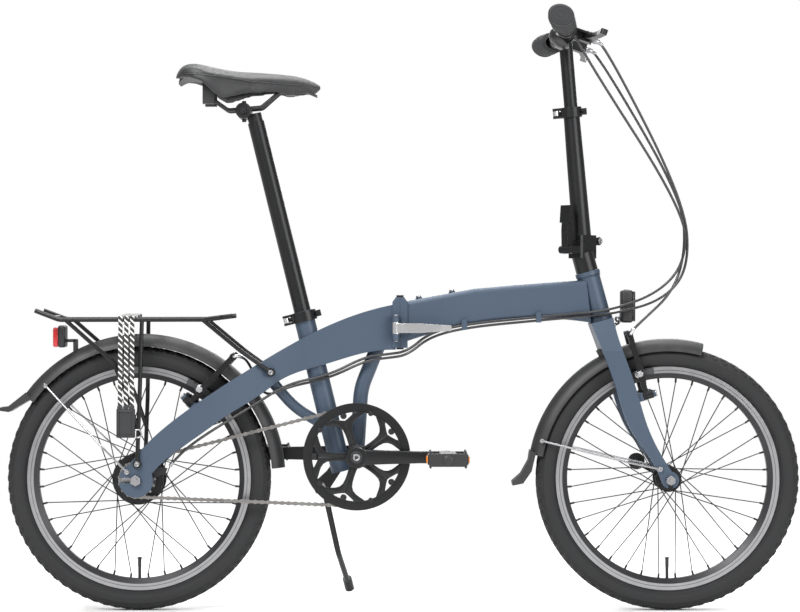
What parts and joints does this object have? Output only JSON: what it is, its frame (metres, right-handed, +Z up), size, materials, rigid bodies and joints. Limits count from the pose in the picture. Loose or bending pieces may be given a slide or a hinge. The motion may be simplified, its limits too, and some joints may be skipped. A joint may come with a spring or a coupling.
{
  "type": "folding bicycle",
  "caption": "Folding bicycle with small wheels, hinged frame and handlepost, rear rack, mudguards, lights, rim brakes and chain drive.",
  "frame": {"origin": "bottom centre of the upright bicycle's bounding box, on the ground under the frame hinge", "axes": "+X forwards, +Y to the rider's left, +Z up"},
  "size_m": [1.5146, 0.582, 1.1171],
  "materials": {
    "frame_paint": "matte blue-grey paint over aluminium",
    "black_alloy": "satin black",
    "silver_alloy": "polished",
    "rim_alloy": "black with machined brake track",
    "bright_steel": "bright",
    "dark_steel": "blackened",
    "tyre_rubber": "matte",
    "black_rubber": "matte",
    "black_plastic": "satin moulded",
    "red_lens": "clear red lens on a black housing",
    "saddle_foam": "vinyl over foam",
    "cable_cover": "black housing"
  },
  "bodies": {
    "rear_frame": {"rear_frame": "frame_paint", "seat_clamp_collar": "black_alloy", "bottom_bracket": "black_alloy", "rear_mudguard": "black_plastic", "rear_mudguard_stays": "bright_steel", "rear_rack": "black_alloy", "rack_straps": "black_rubber", "rear_light": "red_lens", "rear_axle": "dark_steel", "chain": "bright_steel"},
    "kickstand": {"kickstand": "black_alloy"},
    "seat": {"seatpost": "black_alloy", "saddle_clamp": "dark_steel", "saddle_rails": "dark_steel", "saddle_base": "black_plastic", "saddle_cover": "saddle_foam"},
    "seat_clamp_lever": {"seat_clamp_lever": "silver_alloy"},
    "front_frame": {"front_frame": "frame_paint", "hinge_pin": "dark_steel", "headset_cups": "black_alloy", "rear_brake_cable": "cable_cover", "shift_cable": "cable_cover"},
    "frame_latch": {"frame_latch_lever": "silver_alloy"},
    "fork": {"fork": "frame_paint", "front_axle": "bright_steel", "front_mudguard": "black_plastic", "front_mudguard_stays": "bright_steel", "headlight": "black_plastic", "handlepost_base": "black_alloy", "front_brake_cable": "cable_cover"},
    "front_hub_lever": {"front_hub_lever": "black_alloy"},
    "handlepost": {"handlepost": "black_alloy", "post_clamp_collar": "black_alloy"},
    "handlepost_latch": {"handlepost_latch_lever": "black_alloy"},
    "post_clamp_lever": {"post_clamp_lever": "silver_alloy"},
    "handlebar": {"inner_post": "black_alloy", "handlebar": "black_alloy", "grips": "black_rubber", "brake_lever_mounts": "black_alloy"},
    "gear_shifter": {"gear_shifter": "black_plastic"},
    "right_brake_lever": {"right_brake_lever": "black_alloy"},
    "left_brake_lever": {"left_brake_lever": "black_alloy"},
    "front_wheel": {"front_tyre": "tyre_rubber", "front_rim": "rim_alloy", "front_spokes": "dark_steel", "front_hub": "black_alloy"},
    "rear_wheel": {"rear_tyre": "tyre_rubber", "rear_rim": "rim_alloy", "rear_spokes": "dark_steel", "rear_hub": "black_alloy"},
    "sprocket": {"sprocket": "bright_steel"},
    "crankset": {"chainring": "black_alloy", "right_crank": "black_alloy", "left_crank": "black_alloy"},
    "right_pedal": {"right_pedal": "black_plastic"},
    "left_pedal": {"left_pedal": "black_plastic"},
    "front_brake_left": {"front_brake_left": "black_alloy"},
    "front_brake_right": {"front_brake_right": "black_alloy"},
    "rear_brake_left": {"rear_brake_left": "black_alloy"},
    "rear_brake_right": {"rear_brake_right": "black_alloy"}
  },
  "joints": [
    {"name": "frame_fold", "type": "hinge", "parent": "rear_frame", "child": "front_frame", "pos_m": [0, 0.038, 0.545], "axis": [0, 0, 1], "range_deg": [0, 150], "deforming": ["rear_brake_cable", "shift_cable"]},
    {"name": "frame_latch", "type": "hinge", "parent": "rear_frame", "child": "frame_latch", "pos_m": [-0.008, -0.046, 0.535], "axis": [0, 0, -1], "range_deg": [0, 110]},
    {"name": "steer", "type": "hinge", "parent": "front_frame", "child": "fork", "pos_m": [0.381, 0, 0.549], "axis": [-0.2649, 0, 0.9643], "range_deg": [-40, 40], "deforming": ["front_brake_cable"]},
    {"name": "handlepost_fold", "type": "hinge", "parent": "fork", "child": "handlepost", "pos_m": [0.36721, 0.02121, 0.7], "axis": [0.7071, -0.7071, 0], "range_deg": [-160, 0]},
    {"name": "handlepost_latch", "type": "hinge", "parent": "fork", "child": "handlepost_latch", "pos_m": [0.31489, -0.03111, 0.683], "axis": [0.7071, -0.7071, 0], "range_deg": [0, 95]},
    {"name": "bar_slide", "type": "slide", "parent": "handlepost", "child": "handlebar", "axis": [-0.0837, 0, 0.9965], "range_m": [-0.09, 0]},
    {"name": "post_clamp_lever", "type": "hinge", "parent": "handlepost", "child": "post_clamp_lever", "pos_m": [0.2966, 0, 0.94171], "axis": [-0.0837, 0, 0.9965], "range_deg": [0, 120]},
    {"name": "seat_clamp_lever", "type": "hinge", "parent": "rear_frame", "child": "seat_clamp_lever", "pos_m": [-0.21538, 0, 0.54869], "axis": [-0.2385, 0, 0.9711], "range_deg": [0, 120]},
    {"name": "seatpost_slide", "type": "slide", "parent": "rear_frame", "child": "seat", "axis": [-0.2385, 0, 0.9711], "range_m": [-0.26, 0]},
    {"name": "front_wheel_spin", "type": "hinge", "parent": "fork", "child": "front_wheel", "pos_m": [0.5071, 0, 0.25], "axis": [0, 1, 0], "continuous": true},
    {"name": "rear_wheel_spin", "type": "hinge", "parent": "rear_frame", "child": "rear_wheel", "pos_m": [-0.4945, 0, 0.25], "axis": [0, 1, 0], "continuous": true},
    {"name": "crank_spin", "type": "hinge", "parent": "rear_frame", "child": "crankset", "pos_m": [-0.0813, 0, 0.2934], "axis": [0, 1, 0], "continuous": true, "deforming": ["chain"]},
    {"name": "sprocket_spin", "type": "hinge", "parent": "rear_frame", "child": "sprocket", "pos_m": [-0.4945, 0, 0.25], "axis": [0, 1, 0], "continuous": true},
    {"name": "right_pedal_spin", "type": "hinge", "parent": "crankset", "child": "right_pedal", "pos_m": [0.0887, -0.12, 0.2934], "axis": [0, 1, 0], "continuous": true},
    {"name": "left_pedal_spin", "type": "hinge", "parent": "crankset", "child": "left_pedal", "pos_m": [-0.2513, 0.12, 0.2934], "axis": [0, 1, 0], "continuous": true},
    {"name": "right_brake_lever", "type": "hinge", "parent": "handlebar", "child": "right_brake_lever", "pos_m": [0.34973, -0.1, 1.07653], "axis": [-0.3412, 0, -0.94], "range_deg": [0, 15], "stiffness_Nm_per_rad": 2},
    {"name": "left_brake_lever", "type": "hinge", "parent": "handlebar", "child": "left_brake_lever", "pos_m": [0.34973, 0.1, 1.07653], "axis": [0.3412, 0, 0.94], "range_deg": [0, 15], "stiffness_Nm_per_rad": 2},
    {"name": "gear_twist", "type": "hinge", "parent": "handlebar", "child": "gear_shifter", "pos_m": [0.30575, -0.145, 1.09212], "axis": [0.0995, 0.9947, -0.0278], "range_deg": [0, 70]},
    {"name": "kickstand_swing", "type": "hinge", "parent": "rear_frame", "child": "kickstand", "pos_m": [-0.15, 0.04, 0.233], "axis": [0, 1, 0], "range_deg": [0, 100]},
    {"name": "front_hub_lever", "type": "hinge", "parent": "fork", "child": "front_hub_lever", "pos_m": [0.5071, 0.077, 0.25], "axis": [-0.475, 0, -0.88], "range_deg": [0, 165]},
    {"name": "front_brake_left", "type": "hinge", "parent": "fork", "child": "front_brake_left", "pos_m": [0.463, 0.04, 0.408], "axis": [0.9667, 0, 0.2559], "range_deg": [0, 2.2], "stiffness_Nm_per_rad": 0.5},
    {"name": "front_brake_right", "type": "hinge", "parent": "fork", "child": "front_brake_right", "pos_m": [0.463, -0.04, 0.408], "axis": [-0.9667, 0, -0.2559], "range_deg": [0, 2.2], "stiffness_Nm_per_rad": 0.5},
    {"name": "rear_brake_left", "type": "hinge", "parent": "rear_frame", "child": "rear_brake_left", "pos_m": [-0.395, 0.04, 0.394], "axis": [0.7307, 0, -0.6827], "range_deg": [0, 3.02], "stiffness_Nm_per_rad": 0.5},
    {"name": "rear_brake_right", "type": "hinge", "parent": "rear_frame", "child": "rear_brake_right", "pos_m": [-0.395, -0.04, 0.394], "axis": [-0.7307, 0, 0.6827], "range_deg": [0, 3.02], "stiffness_Nm_per_rad": 0.5}
  ],
  "couplings": [
    {"joint": "sprocket_spin", "follows": "crank_spin", "ratio": 2.875},
    {"joint": "front_brake_left", "follows": "left_brake_lever", "ratio": 0.14533},
    {"joint": "front_brake_right", "follows": "left_brake_lever", "ratio": 0.14533},
    {"joint": "rear_brake_left", "follows": "right_brake_lever", "ratio": 0.2},
    {"joint": "rear_brake_right", "follows": "right_brake_lever", "ratio": 0.2}
  ]
}
